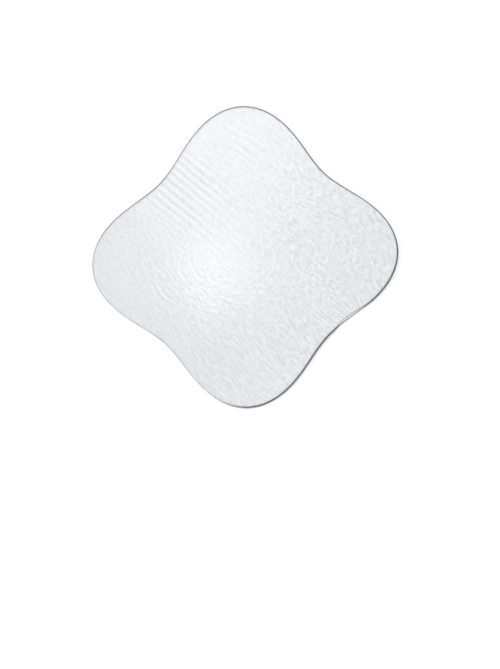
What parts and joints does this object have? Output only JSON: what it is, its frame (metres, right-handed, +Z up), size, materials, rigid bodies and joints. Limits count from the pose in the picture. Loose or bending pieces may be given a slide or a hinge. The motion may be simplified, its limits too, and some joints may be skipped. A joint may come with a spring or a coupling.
{
  "type": "hydrogel breast pad",
  "caption": "Flat four-lobed cooling pad of soft clear gel, with a thin clear film bonded over its outer face.",
  "frame": {"origin": "middle of the skin side, on the surface that the pad lies on", "axes": "+X and +Y through lobe tips, +Z up, out of the film; with +Y up the long wrinkles are at the upper left"},
  "size_m": [0.1, 0.1, 0.0024],
  "materials": {
    "clear_gel": "soft, wet and nearly clear, faintly blue",
    "clear_film": "clear, finely crinkled, with a satin shine"
  },
  "bodies": {
    "root": {"hydrogel_sheet": "clear_gel", "backing_film": "clear_film"}
  },
  "joints": []
}
